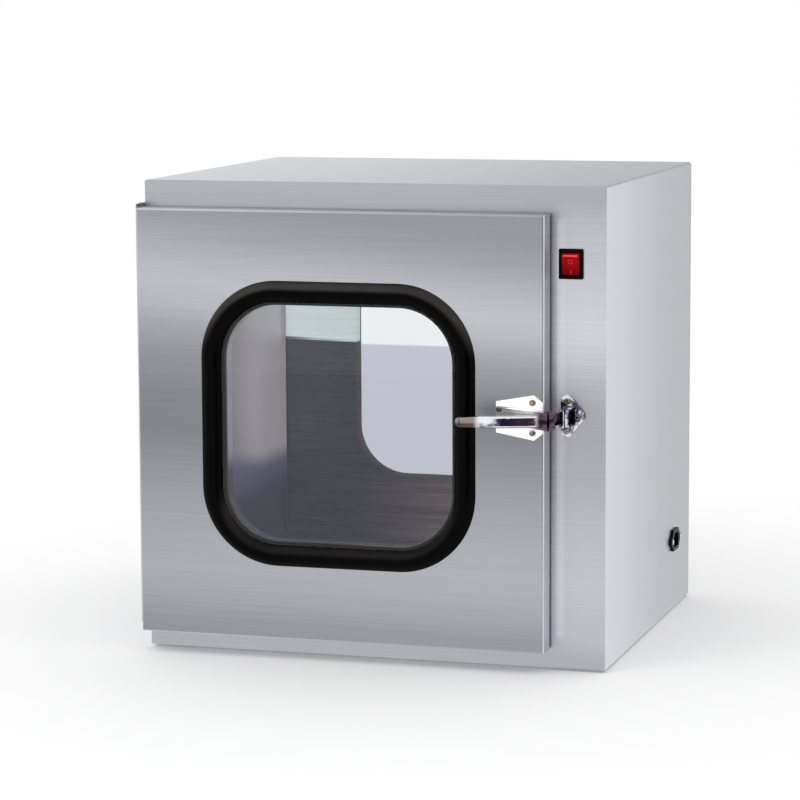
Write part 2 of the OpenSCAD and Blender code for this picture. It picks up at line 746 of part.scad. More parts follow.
// The moulding's section, with the door's outer face at zero on its second axis
module moulding_section() {
    half = bead_w / 2;
    dome_r = (half * half + bead_h * bead_h) / (2 * bead_h);
    intersection() {
        translate([0, bead_h - dome_r]) circle(dome_r);
        translate([-half, 0]) square([bead_w, bead_h + 1]);
    }
    translate([-web_t / 2, -glass_t - rear_bead]) square([web_t, glass_t + rear_bead + eps]);
    translate([web_t / 2 - eps, -glass_t - rear_bead])
        square([half - web_t / 2 - 2, glass_t + rear_bead - sheet]);
    translate([reveal_u, -glass_t - rear_bead]) square([-reveal_u, rear_bead]);
}

module window_moulding() facing_front(win_x, y_out, win_z)
    ring_sweep(path_w, path_h, moulding_r) moulding_section();

module window_glass() translate([win_x, 0, win_z]) plate_y(y_out, glass_t)
    rrect(path_w - web_t - 2 * glass_fit, path_h - web_t - 2 * glass_fit, moulding_r - web_t / 2 - glass_fit);

module door_seal() {
    translate([ch_cx, 0, ch_cz]) plate_y(y_back, door_gap - seal_clear) difference() {
        rrect(chamber_w + 2 * (seal_set + seal_w), chamber_h + 2 * (seal_set + seal_w),
            chamber_r + seal_set + seal_w);
        rrect(chamber_w + 2 * seal_set, chamber_h + 2 * seal_set, chamber_r + seal_set);
    }
}

// ---------- latch ----------
// Centre of the arc of radius r that joins a to b and bows outwards
function bow_centre(a, b, r) = let (m = (a + b) / 2, d = (b - a) / norm(b - a),
    h = sqrt(r * r - pow(norm(b - a) / 2, 2))) [m[0] + d[1] * h, m[1] - d[0] * h];

module latch_plate_outline() {
    last = len(plate_points) - 1;
    polygon([for (i = [0 : 2 * last + 1]) i <= last ? plate_points[i]
        : [plate_points[2 * last + 1 - i][0], -plate_points[2 * last + 1 - i][1]]]);
}

module latch_base() {
    y_face = y_out - base_t;
    difference() {
        union() {
            translate([door_x1, 0, latch_z]) plate_y(y_face, base_t) latch_plate_outline();
            for (s = [-1, 1]) translate([0, 0, latch_z + s * (cheek_in + cheek_t / 2)])
                linear_extrude(cheek_t, center = true) {
                    polygon([[door_x1 + cheek_start, y_face + eps], [door_x1 - 1.5, y_face + eps],
                        [piv_x - 1 + hub_r * 0.8, piv_y + hub_r * 0.55], [piv_x, piv_y - hub_r],
                        [piv_x - hub_r * 0.6, piv_y - hub_r * 0.8]]);
                    translate([piv_x, piv_y]) circle(hub_r);
                }
        }
        for (p = plate_screws, s = [-1, 1]) translate([door_x1 + p[0], y_out, latch_z + s * p[1]])
            rotate([90, 0, 0]) cylinder(r = screw_r + screw_fit, h = 8 * base_t, center = true);
        translate([piv_x, piv_y, latch_z])
            cylinder(r = latch_pin_r + pin_fit, h = 2 * cheek_out + 2, center = true);
    }
}

module latch_pin() translate([piv_x, piv_y, latch_z]) {
    cylinder(r = latch_pin_r, h = 2 * cheek_out + 0.6, center = true);
    for (s = [-1, 1]) translate([0, 0, s * (cheek_out + 0.8)])
        cylinder(r = latch_pin_r + 1.2, h = 1, center = true);
}

module latch_screws() {
    for (p = plate_screws, s = [-1, 1])
        translate([door_x1 + p[0], y_out - base_t, latch_z + s * p[1]]) rotate([90, 0, 0])
            screw(screw_r, screw_head_r, screw_head_h, base_t + sheet + 4);
}

module lever_solid() translate([piv_x, piv_y, latch_z]) linear_extrude(lever_h, center = true)
    children();

module latch_lever() {
    a = [-3, -3.5];
    b = [-lever_reach, -lever_rise];
    c = bow_centre(a, b, lever_bow_r);
    turns = [for (p = [a, b]) atan2(p[1] - c[1], p[0] - c[0])];
    hook_in = roller_r + hook_gap;
    hook_out = hook_in + hook_t;
    r_dir = atan2(roller_dy, roller_dx);
    reach = norm([roller_dx, roller_dy]);
    difference() {
        union() {
            lever_solid() circle(hub_r - 0.4);
            // the long curved bar and its rounded tip
            translate([piv_x + c[0], piv_y + c[1], latch_z]) rotate(min(turns))
                rotate_extrude(angle = max(turns) - min(turns))
                translate([lever_bow_r, 0]) rrect(lever_t, lever_h, lever_edge);
            translate([piv_x + b[0], piv_y + b[1], latch_z]) rotate_extrude() intersection() {
                rrect(lever_t + 2 * tip_flare, lever_h, lever_edge);
                translate([0, -lever_h / 2]) square([lever_t, lever_h]);
            }
            // the claw, which reaches past the roller and hooks behind it
            lever_solid() difference() {
                translate([roller_dx, roller_dy]) intersection() {
                    circle(hook_out);
                    rotate(r_dir) translate([-hook_out, 1.5]) square([2 * hook_out, hook_out]);
                }
                translate([roller_dx, roller_dy]) circle(hook_in);
            }
            lever_solid() rotate(r_dir) polygon([[reach - hook_in - 2.6, 0.6],
                [reach - hook_in - 1.2, 2.4], [reach - hook_out * 0.35, hook_out * 0.85],
                [0, hub_r - 1.2], [0, -hub_r * 0.35]]);
        }
        translate([piv_x, piv_y, latch_z])
            cylinder(r = latch_pin_r + pin_fit, h = lever_h + 2, center = true);
    }
}

// ---------- keeper ----------
module keeper() {
    ear_end = roller_r + 1.2;
    difference() {
        union() {
            translate([rol_x, 0, latch_z]) plate_y(-keeper_t, keeper_t) hull()
                for (p = keeper_lobes) translate(p) circle(lobe_r, $fn = 32);
            for (s = [-1, 1]) translate([rol_x, 0, latch_z + s * (cheek_in + 0.1 + cheek_t / 2)])
                linear_extrude(cheek_t, center = true) {
                    translate([0, rol_y]) circle(ear_end);
                    polygon([[-ear_end, rol_y], [ear_end, rol_y], [ear_end + 2, -keeper_t + eps],
                        [-ear_end - 1, -keeper_t + eps]]);
                }
        }
        for (p = keeper_lobes) translate([rol_x + p[0], 0, latch_z + p[1]]) rotate([90, 0, 0])
            cylinder(r = screw_r + screw_fit, h = 4 * keeper_t, center = true);
        translate([rol_x, rol_y, latch_z])
            cylinder(r = roller_pin_r + pin_fit, h = 2 * cheek_out + 2, center = true);
    }
}

module keeper_pin() translate([rol_x, rol_y, latch_z])
    cylinder(r = roller_pin_r, h = 2 * cheek_out + 1, center = true);

module keeper_roller() translate([rol_x, rol_y, latch_z]) difference() {
    cylinder(r = roller_r, h = lever_h, center = true);
    cylinder(r = roller_pin_r + pin_fit, h = lever_h + 2, center = true);
}

module keeper_screw_set() {
    for (p = keeper_lobes) translate([rol_x + p[0], -keeper_t, latch_z + p[1]]) rotate([90, 0, 0])
        screw(screw_r, screw_head_r, screw_head_h, keeper_t + sheet + 4);
}

steel = [0.80, 0.81, 0.83];
chrome = [0.90, 0.91, 0.93];
rubber = [0.08, 0.08, 0.09];
glass = [0.80, 0.85, 0.90, 0.35];

module front_keeper() color(chrome) keeper();
module rear_keeper() color(chrome) at_rear() keeper();
module front_keeper_roller() color(chrome) keeper_roller();
module rear_keeper_roller() color(chrome) at_rear() keeper_roller();
module keeper_pins() color(chrome) {
    keeper_pin();
    at_rear() keeper_pin();
}
module keeper_screws() color(chrome) {
    keeper_screw_set();
    at_rear() keeper_screw_set();
}
module front_door_skin() color(steel) door_skin();
module rear_door_skin() color(steel) at_rear() door_skin();
module front_door_inner_pan() color(steel * 0.9) door_inner_pan();
module rear_door_inner_pan() color(steel * 0.9) at_rear() door_inner_pan();
module front_window_moulding() color(rubber) window_moulding();
module rear_window_moulding() color(rubber) at_rear() window_moulding();
module front_window_glass() color(glass) window_glass();
module rear_window_glass() color(glass) at_rear() window_glass();
module front_door_seal() color(rubber) door_seal();
module rear_door_seal() color(rubber) at_rear() door_seal();
module front_latch_base() color(chrome) latch_base();
module rear_latch_base() color(chrome) at_rear() latch_base();
module front_latch_pin() color(chrome) latch_pin();
module rear_latch_pin() color(chrome) at_rear() latch_pin();
module front_latch_screws() color(chrome) latch_screws();
module rear_latch_screws() color(chrome) at_rear() latch_screws();
module front_latch_lever() color(chrome) latch_lever();
module rear_latch_lever() color(chrome) at_rear() latch_lever();

placed() outer_shell();
placed() base_pan();
placed() front_frame();
placed() rear_frame();
placed() chamber_liner();
placed() feet();
placed() lamp_bracket();
placed() lamp_tube();
placed() lamp_end_caps();
placed() lamp_holders();
placed() lamp_screws();
placed() ballast();
placed() ballast_screws();
placed() switch_housing();
placed() switch_terminals();
placed() switch_rocker();
placed() inlet_housing();
placed() inlet_pins();
placed() inlet_screws();
placed() wiring_harness();
placed() interlock_shaft();
placed() interlock_guides();
placed() front_keeper();
placed() rear_keeper();
placed() keeper_pins();
placed() keeper_screws();
placed() front_keeper_roller();
placed() rear_keeper_roller();
placed() front_hinge_frame_leaf();
placed() rear_hinge_frame_leaf();
placed() hinge_pins();
placed() front_door_skin();
placed() front_door_inner_pan();
placed() front_window_moulding();
placed() front_window_glass();
placed() front_door_seal();
placed() front_hinge_door_leaf();
placed() front_latch_base();
placed() front_latch_pin();
placed() front_latch_screws();
placed() front_latch_lever();
placed() rear_door_skin();
placed() rear_door_inner_pan();
placed() rear_window_moulding();
placed() rear_window_glass();
placed() rear_door_seal();
placed() rear_hinge_door_leaf();
placed() rear_latch_base();
placed() rear_latch_pin();
placed() rear_latch_screws();
placed() rear_latch_lever();
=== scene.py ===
"""A cleanroom pass box: finishes, rounded castings, room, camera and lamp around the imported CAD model.

Metres, +Z up, with the front door towards -Y. Colours are written as they look on a screen, 0 to 255.
"""

import math

import bmesh
import bpy
from mathutils import Matrix, Vector


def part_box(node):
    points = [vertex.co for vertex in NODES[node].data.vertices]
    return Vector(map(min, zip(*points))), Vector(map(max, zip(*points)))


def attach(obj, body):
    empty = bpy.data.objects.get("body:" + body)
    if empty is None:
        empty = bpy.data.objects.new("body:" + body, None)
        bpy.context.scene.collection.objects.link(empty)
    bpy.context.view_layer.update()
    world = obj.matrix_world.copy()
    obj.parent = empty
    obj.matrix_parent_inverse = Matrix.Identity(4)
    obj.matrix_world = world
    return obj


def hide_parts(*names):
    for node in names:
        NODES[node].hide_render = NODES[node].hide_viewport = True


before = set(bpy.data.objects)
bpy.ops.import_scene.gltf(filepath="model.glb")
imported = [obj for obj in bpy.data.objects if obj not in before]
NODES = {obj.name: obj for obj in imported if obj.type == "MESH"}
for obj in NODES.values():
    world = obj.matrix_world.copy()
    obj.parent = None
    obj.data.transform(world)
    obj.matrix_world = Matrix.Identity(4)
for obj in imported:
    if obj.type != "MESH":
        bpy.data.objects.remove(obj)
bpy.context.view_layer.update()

ENDS = ("front", "rear")
WHITE = (1.0, 1.0, 1.0, 1.0)
BLACK = (0.0, 0.0, 0.0, 1.0)


def linear(value):
    """One screen value, 0 to 255, as linear light."""
    value = value / 255
    return value / 12.92 if value <= 0.04045 else ((value + 0.055) / 1.055) ** 2.4


def rgb(r, g=None, b=None):
    """A linear colour from screen values; one value makes the cool grey of this steel."""
    if g is None:
        r, g, b = r, r + 1, r + 7
    return (linear(r), linear(g), linear(b), 1.0)


def corners(node):
    """The low and high corner of a CAD node's box, to a tenth of a millimetre."""
    return [tuple(round(v, 4) for v in corner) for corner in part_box(node)]


def middle(node):
    """The middle of a CAD node's box, to a tenth of a millimetre."""
    return tuple(round((low + high) / 2, 4) for low, high in zip(*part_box(node)))


(_, DOOR_FACE, DOOR_BOTTOM), (DOOR_EDGE, _, DOOR_TOP) = corners("front_door_skin")
LEVER_TIP = corners("front_latch_lever")[0][0]
LATCH_Z = middle("front_latch_lever")[2]
SWITCH_X, _, SWITCH_Z = middle("switch_housing")


# ---------------------------------------------------------------- node tools


class Wire:
    """An output socket that takes arithmetic."""

    def __init__(self, graph, socket):
        self.graph, self.socket = graph, socket

    def _math(self, operation, *terms):
        return self.graph.node("ShaderNodeMath", dict(enumerate(terms)), operation=operation)

    def __add__(self, other):
        return self._math("ADD", self, other)

    __radd__ = __add__

    def __sub__(self, other):
        return self._math("SUBTRACT", self, other)

    def __rsub__(self, other):
        return self._math("SUBTRACT", other, self)

    def __mul__(self, other):
        return self._math("MULTIPLY", self, other)

    __rmul__ = __mul__

    def __truediv__(self, other):
        return self._math("DIVIDE", self, other)

    def size(self):
        """The value without its sign."""
        return self._math("ABSOLUTE", self)

    def most(self, other):
        return self._math("MAXIMUM", self, other)

    def root(self):
        return self._math("SQRT", self)

    def rise(self, low, high, at_low=0.0, at_high=1.0):
        """A smooth step from at_low, where this is low, to at_high, where it is high."""
        return self.graph.node(
            "ShaderNodeMapRange",
            {"Value": self, "From Min": low, "From Max": high, "To Min": at_low, "To Max": at_high},
            interpolation_type="SMOOTHSTEP",
        )

    def fall(self, low, high):
        """1 where this is low, 0 where it is high."""
        return 1.0 - self.rise(low, high)

    def within(self, start, full, fade, end):
        """1 from full to fade, and 0 before start and past end."""
        return self.rise(start, full) * self.fall(fade, end)


class Graph:
    """The nodes of one material, or of the world."""

    def __init__(self, owner):
        owner.use_nodes = True
        self.tree = owner.node_tree
        self.tree.nodes.clear()

    def node(self, kind, inputs=None, out=0, stops=(), **settings):
        """Adds a node with its settings, ramp stops and inputs, numbers or wires, and gives one output."""
        made = self.tree.nodes.new(kind)
        for key, value in settings.items():
            setattr(made, key, value)
        if stops:
            elements = made.color_ramp.elements
            elements.remove(elements[-1])
            elements[0].position, elements[0].color = stops[0]
            for where, colour in stops[1:]:
                elements.new(where).color = colour
        for key, value in (inputs or {}).items():
            if isinstance(value, Wire):
                self.tree.links.new(value.socket, made.inputs[key])
            else:
                made.inputs[key].default_value = value
        return Wire(self, made.outputs[out])

    def close(self, kind, surface):
        """Feeds the output node of the material or the world."""
        self.tree.links.new(surface.socket, self.tree.nodes.new(kind).inputs[0])

    def place(self):
        """Where a point lies in its object's own frame, which for every piece is the CAD model's frame."""
        return self.node("ShaderNodeTexCoord", out="Object")

    def axes(self, vector):
        return tuple(self.node("ShaderNodeSeparateXYZ", {0: vector}, out=i) for i in range(3))

    def facing(self):
        """The way that the surface looks, along each axis."""
        return self.axes(self.node("ShaderNodeNewGeometry", out="Normal"))

    def ray(self, kind):
        return self.node("ShaderNodeLightPath", out=f"Is {kind} Ray")

    def noise(self, vector, scale, detail=2.0, rough=0.5, distortion=0.0):
        """Noise from 0 to 1, at one scale or stretched by a scale for each axis."""
        if not isinstance(scale, tuple):
            scale = (scale, scale, scale)
        spread = self.node("ShaderNodeVectorMath", {0: vector, 1: scale}, operation="MULTIPLY")
        return self.node(
            "ShaderNodeTexNoise",
            {"Vector": spread, "Scale": 1.0, "Detail": detail, "Roughness": rough, "Distortion": distortion},
        )

    def ramp(self, value, low, high, bands):
        """The painted grey of the steel's light bands at each place between low and high; bands are (place,
        screen grey).
        """
        stops = [((where - low) / (high - low), rgb(grey)) for where, grey in bands]
        return self.node("ShaderNodeValToRGB", {0: (value - low) / (high - low)}, stops=stops)

    def blend(self, factor, a, b, mode="MIX"):
        return self.node("ShaderNodeMix", {0: factor, 6: a, 7: b}, out=2, data_type="RGBA", blend_type=mode)

    def shade(self, colour, amount):
        """A colour times a grey factor."""
        grey = self.node("ShaderNodeCombineColor", {0: amount, 1: amount, 2: amount})
        return self.blend(1.0, colour, grey, "MULTIPLY")

    def together(self, first, *others):
        """Several painted glows added up."""
        for other in others:
            first = self.blend(1.0, first, other, "ADD")
        return first

    def bump(self, height, strength, distance):
        return self.node("ShaderNodeBump", {"Height": height, "Strength": strength, "Distance": distance})


def material(name, paint, **constants):
    """A material whose paint(graph) gives the sockets that vary over the surface; the rest are constants."""
    made = bpy.data.materials.new(name)
    g = Graph(made)
    sockets = {key.replace("_", " "): value for key, value in {**constants, **paint(g)}.items()}
    g.close("ShaderNodeOutputMaterial", g.node("ShaderNodeBsdfPrincipled", sockets))
    return made


# ---------------------------------------------------------------- steel sheet

# Painted bands of reflected light on the steel, up the door and the frame, along the sides and across the
# top: (place, screen grey).
DOOR_BANDS = [
    (0.02, 148), (0.035, 150), (0.055, 161), (0.075, 169), (0.098, 173), (0.13, 170), (0.17, 161),
    (0.21, 147), (0.245, 134), (0.275, 137), (0.31, 149), (0.335, 164), (0.36, 185), (0.382, 190),
    (0.402, 183), (0.44, 160), (0.465, 151), (0.48, 149),
]
FRAME_BANDS = [
    (0.0, 172), (0.018, 176), (0.034, 187), (0.09, 195), (0.12, 193), (0.16, 187), (0.20, 177),
    (0.243, 173), (0.274, 176), (0.305, 190), (0.325, 203), (0.345, 210), (0.361, 211), (0.39, 206),
    (0.42, 199), (0.448, 195), (0.468, 187), (0.486, 176), (0.503, 176),
]
SIDE_BANDS = [(-0.22, 204), (-0.20, 204), (-0.14, 199), (-0.05, 187), (0.05, 177), (0.21, 169), (0.22, 169)]
TOP_BANDS = [(-0.25, 193), (-0.1, 183), (0.1, 163), (0.25, 146)]
BAND_HEIGHT = 0.51
HALF_DEPTH = 0.22
HALF_WIDTH = 0.25

LEAN_FROM = 0.235
LEAN = 0.55


def brushed(g, facing):
    """Fine straight grain along the sheet, with broader strokes in it: 0 to 1."""
    p = g.place()
    level = facing[2].size().rise(0.4, 0.6)

    def strokes(along, across):
        wall = g.noise(p, (along, along, across), 3.0, 0.6)
        flat = g.noise(p, (along, across, along), 3.0, 0.6)
        return (wall * (1.0 - level) + flat * level).rise(0.25, 0.75)

    return strokes(12.0, 1300.0) * 0.5 + strokes(5.0, 300.0) * 0.5


def banded_steel(g, height, depth, bands, tone, bounce):
    """Brushed stainless sheet with soft bands of reflected light painted into its colour, which follow the
    way that each face looks.

    height and depth say where a point lies in the bands, tone is how bright it is painted, and bounce is a
    weak painted glow.
    """
    p = g.place()
    facing = g.facing()
    front = g.ramp(height, 0.0, BAND_HEIGHT, bands)
    side = g.ramp(depth, -HALF_DEPTH, HALF_DEPTH, SIDE_BANDS)
    top = g.ramp(g.axes(p)[0], -HALF_WIDTH, HALF_WIDTH, TOP_BANDS)
    colour = g.blend(facing[0].size().rise(0.35, 0.65), front, side)
    colour = g.blend(facing[2].size().rise(0.35, 0.65), colour, top)
    strokes = brushed(g, facing)
    cloud = g.noise(p, (5.0, 5.0, 9.0))
    # The base colour holds the painted light bands; the emission is a painted glow.
    return {
        "Base_Color": g.shade(colour, (strokes - 0.5) * 0.18 + (cloud - 0.5) * 0.05 + tone),
        "Roughness": (strokes - 0.5) * 0.15 + 0.36,
        "Normal": g.bump(strokes, 0.08, 0.0004),
        "Emission_Color": g.shade(rgb(250), bounce),
    }


def door_paint(g):
    """A door's skin: its upper painted light bands lean towards the latch, it is painted lighter towards the
    latch, and its narrow sides glow a little with painted light.
    """
    x, y, z = g.axes(g.place())
    lean = x * (z - LEAN_FROM).most(0.0) * LEAN
    # Painted light: the door grows lighter towards the latch side.
    tone = (x + 0.2) * 0.2 + 1.05
    # A painted glow on the door's narrow sides.
    bounce = g.facing()[0].size().rise(0.6, 0.9) * 0.05
    return banded_steel(g, z + lean, y.size() * -1.0, DOOR_BANDS, tone, bounce)


def cabinet_paint(g):
    """The cabinet's shell and frames, in painted light bands: the strip of frame beside a door glows with
    painted light, in place of the light of the door's side.
    """
    x, y, z = g.axes(g.place())
    strip = (x - DOOR_EDGE).within(0.0052, 0.0072, 0.0102, 0.0182)
    beside = strip * (z - DOOR_BOTTOM).rise(0.007, 0.017) * (z - DOOR_TOP).fall(-0.011, -0.003)
    # A painted glow on the strip of frame beside each door.
    bounce = beside * g.facing()[1].size().rise(0.6, 0.9) * 0.09
    return banded_steel(g, z, y, FRAME_BANDS, 1.08, bounce)


# Where the chamber's painted pale wall gives way to its painted dusk, and the faint painted glow of that
# dusk, on the sheet and on a pan's reveals.
WALL_EDGE = 0.158
DUSK = (0.010, 0.010, 0.019, 1.0)
REVEAL_DUSK = (0.033, 0.028, 0.030, 1.0)
# The height above which a painted wash of lamp light covers the rear pan, how much this edge slopes, and how
# soft it is.
WASH_Z = 0.275
WASH_SLOPE = 0.045
WASH_FADE = 0.005


def pan_paint(g):
    """A door's inner pan, strongly brushed. The rear one is painted in the chamber's light: painted shade
    that darkens it upwards and towards its left edge, a painted wash of lamp light at the top and a painted
    warm glow low down. Both carry a faint painted dusk glow, and their reveals carry painted light and shade.
    """
    p = g.place()
    x, y, z = g.axes(p)
    strokes = g.noise(p, (10.0, 10.0, 340.0), 2.0, 0.6).rise(0.3, 0.7)
    broad = g.noise(p, (2.0, 2.0, 60.0), 3.0, 0.6)
    cloud = g.noise(p, (6.0, 6.0, 16.0), 3.0)
    rear = y.rise(-0.01, 0.01)
    front = 1.0 - rear
    sides = g.facing()[1].size().fall(0.5, 0.8)
    # The sloping edge of the rear pan's painted wash of lamp light.
    edge = z + x * WASH_SLOPE + (cloud - 0.5) * 0.006 + (strokes - 0.5) * 0.003
    painted_wash = edge.rise(WASH_Z, WASH_Z + WASH_FADE) * rear
    # A painted warm glow low on the rear pan.
    warm = x.rise(-0.17, -0.02) * z.fall(0.115, 0.135) * broad.rise(0.25, 0.6, 0.45, 1.0) * rear
    above = z.rise(WALL_EDGE + 0.038, WALL_EDGE + 0.062)

    # Painted shade inside the chamber: the rear pan darkens upwards and towards its left edge, under the
    # painted wash of lamp light; the front pan stays plain steel.
    colour = g.blend(z.rise(0.12, 0.26), rgb(94, 92, 110), rgb(70, 69, 84))
    colour = g.shade(colour, x.rise(-0.24, -0.18, 0.78, 1.0))
    colour = g.blend(painted_wash, colour, rgb(150, 160, 158))
    colour = g.blend(rear, rgb(124, 123, 133), colour)
    colour = g.blend(warm * 0.8, colour, rgb(134, 118, 114))
    # Painted light and shade on the reveals: the front pan's are lighter above, the rear pan's are dark.
    front_reveal = g.blend(above, rgb(92, 88, 98), rgb(168, 160, 165))
    colour = g.blend(sides, colour, g.blend(front, rgb(52, 46, 46), front_reveal))

    light = ((strokes - 0.5) * 0.36 + (broad - 0.5) * 0.24) * (1.0 - painted_wash * 0.75) + 1.0
    # Painted glows: the lamp's wash, the warm patch, the dusk, and the front pan's reveals.
    glow = g.together(
        g.shade(rgb(214, 226, 226), painted_wash * light * 0.70),
        g.shade(rgb(132, 110, 104), warm * (1.0 - sides) * light * 0.25),
        g.shade(g.blend(sides, DUSK, REVEAL_DUSK), (1.0 - painted_wash) * (1.0 - front * sides) * light),
        g.shade(g.blend(above, rgb(52, 52, 60), rgb(116, 113, 118)), front * sides),
    )
    return {
        "Base_Color": g.shade(colour, light),
        "Roughness": (strokes - 0.5) * 0.15 + sides * 0.2 + 0.32,
        "Emission_Color": glow,
    }


def liner_paint(g):
    """The chamber's sheet, painted with the chamber's light and shade: pale walls with a painted sheen,
    painted darker at their top, towards the front and in the far corner, which fade to a floor painted dark,
    with a faint painted glow in the shade.
    """
    p = g.place()
    _x, y, z = g.axes(p)
    strokes = g.noise(p, (7.0, 7.0, 500.0), 3.0, 0.6)
    floor_strokes = g.noise(p, (5.0, 500.0, 5.0), 3.0, 0.6)
    cloud = g.noise(p, 5.0, 3.0)
    level = g.facing()[2].size().rise(0.4, 0.6)
    corner = 0.010 - y.rise(0.0, 0.15) * 0.015
    # pale marks the walls' painted light, above a soft edge.
    pale = (z - corner + (cloud - 0.5) * 0.01).rise(WALL_EDGE - 0.014, WALL_EDGE + 0.012)

    # Painted light and shade: pale above the soft edge, darker below it, towards the front, at the top and in
    # the far corner, and a floor painted darker still.
    wall = g.blend(pale, rgb(128, 125, 138), rgb(190, 182, 188))
    wall = g.blend(y.rise(0.0, 0.12), g.shade(wall, 0.7), wall)
    wall = g.blend(z.rise(0.25, 0.31) * 0.3, wall, rgb(96, 92, 98))
    wall = g.blend(y.rise(0.185, 0.209) * z.rise(0.15, 0.3, 0.4, 1.0), wall, rgb(96, 84, 92))
    colour = g.blend(level, wall, rgb(104, 102, 118))

    grain = strokes * (1.0 - level) + floor_strokes * level
    light = (grain - 0.5) * 0.16 + (cloud - 0.5) * 0.1 + 1.0
    # A painted sheen on the pale walls, and a faint painted dusk glow elsewhere that grows upwards.
    shine = y.rise(0.0, 0.12, 0.4, 1.0) * z.rise(0.26, 0.32, 1.0, 0.72) * light * 0.2
    wall_shine = pale * (1.0 - level)
    glow = g.together(
        g.shade((1.0, 0.93, 0.98, 1.0), wall_shine * shine),
        g.shade(DUSK, (1.0 - wall_shine) * z.rise(0.10, 0.155, 1.0, 4.5)),
    )
    return {
        "Base_Color": g.shade(colour, light),
        "Roughness": (grain - 0.5) * 0.1 + 0.5,
        "Emission_Color": glow,
    }


# ---------------------------------------------------------------- other finishes


def grained(base, grain=0.08, rough=0.35, spread=(9.0, 9.0, 1200.0)):
    """A plain brushed or satin metal."""

    def paint(g):
        p = g.place()
        strokes = g.noise(p, spread, 3.0, 0.6)
        cloud = g.noise(p, 14.0, 3.0)
        light = (strokes - 0.5) * grain * 2.0 + (cloud - 0.5) * 0.1 + 1.0
        return {
            "Base_Color": g.shade(base, light),
            "Roughness": (cloud - 0.5) * 0.1 + (strokes - 0.5) * 0.1 + rough,
            "Normal": g.bump(strokes, 0.08, 0.0003),
        }

    return paint


def moulded(base, rough=0.4, grain=900.0, depth=0.12, worn=0.15):
    """Moulded plastic, rubber or enamel: a fine skin texture and a faint bloom."""

    def paint(g):
        p = g.place()
        skin = g.noise(p, grain, 3.0, 0.6)
        bloom_and_sheen = g.noise(p, 22.0, 3.0)
        return {
            "Base_Color": g.shade(base, (bloom_and_sheen - 0.5) * worn * 2.0 + (skin - 0.5) * 0.1 + 1.0),
            "Roughness": (bloom_and_sheen - 0.5) * 0.12 + (skin - 0.5) * 0.1 + rough,
            "Normal": g.bump(skin, depth, 0.0002),
        }

    return paint


def clear_pane(g):
    """Window glass with a trace of dust."""
    return {"Roughness": g.noise(g.place(), 160.0, 4.0, 0.7).rise(0.6, 0.85) * 0.02}


def bead_paint(g):
    """Black moulding rubber: a painted sheen on its rounded face where it looks upwards, fainter low down."""
    p = g.place()
    up = g.facing()[2]
    cloud = g.noise(p, 14.0, 3.0)
    skin = g.noise(p, 700.0, 3.0, 0.6)
    # Painted sheen: lighter where the rubber looks upwards, fainter low down, tinted by the colour blended
    # below.
    sheen = up.rise(0.03, 0.4) * (1.0 - up.rise(0.62, 0.95) * 0.62)
    sheen = sheen * cloud.rise(0.25, 0.7, 0.55, 1.0) * g.axes(p)[2].rise(0.1, 0.3, 0.25, 1.0)
    bloom_and_sheen = g.blend(cloud.rise(0.35, 0.65), rgb(62, 61, 59), rgb(62, 57, 57))
    return {
        "Base_Color": g.shade(g.blend(sheen, BLACK, bloom_and_sheen), (skin - 0.5) * 0.1 + 1.0),
        "Roughness": (cloud - 0.5) * 0.12 + 0.3,
        "Normal": g.bump(skin, 0.08, 0.0002),
    }


def plated(base, shadow=None, dusk=None, rough=0.07):
    """Bright plating over a casting: faint waves, dull spots, a painted shadow tint where dusk(g) says, and
    its own colour as a painted glow wherever the finish sets an emission strength.
    """

    def paint(g):
        p = g.place()
        wave = g.noise(p, 70.0)
        spots = g.noise(p, 420.0, 3.0, 0.7).rise(0.55, 0.8)
        colour = g.blend(dusk(g), base, shadow) if dusk else base
        return {
            "Base_Color": g.shade(colour, 1.0 - spots * 0.12),
            "Roughness": spots * 0.1 + (wave - 0.5) * 0.05 + rough,
            "Normal": g.bump(wave, 0.2, 0.001),
            # A painted glow of the plating's own colour, where the finish sets a strength.
            "Emission_Color": g.shade(colour, 1.0 - spots * 0.3),
        }

    return paint


PLATE_THICKNESS = 0.0032
CHEEK_FADE = 0.006


def base_dusk(g):
    """The latch plate stays bright; its cheeks are painted in shade towards the pivot."""
    x, y, _z = g.axes(g.place())
    proud = y.size() + DOOR_FACE
    return proud.rise(PLATE_THICKNESS, PLATE_THICKNESS + CHEEK_FADE) * x.rise(0.175, 0.195)


def keeper_dusk(g):
    """The keeper casting carries painted dark reflections in noisy patches, between its bright rims."""
    return g.noise(g.place(), 95.0, 3.0, 0.6, 0.6).rise(0.42, 0.56)


def screw_paint(g):
    """A plated cross-head screw, painted light and dark by turns in fine noise, as painted reflections of the
    room in the recess and the dome.
    """
    # Painted reflections: fine noise picks dark or light.
    painted_reflection = g.noise(g.place(), 620.0, 1.0, 0.5, 0.8).rise(0.44, 0.56)
    return {
        "Base_Color": g.blend(painted_reflection, rgb(64, 50, 46), rgb(188, 166, 150)),
        "Roughness": painted_reflection * -0.1 + 0.3,
    }


# Along the lever from its tip: where each painted reflection on its plating fades in or out.
GREY_TIP = (0.0192, 0.0272)
DARK_REFLECTIONS = (0.0222, 0.0292, 0.0392, 0.0452)
UNDERSIDE = (0.0252, 0.0312)
HUB = (0.0792, 0.0842)


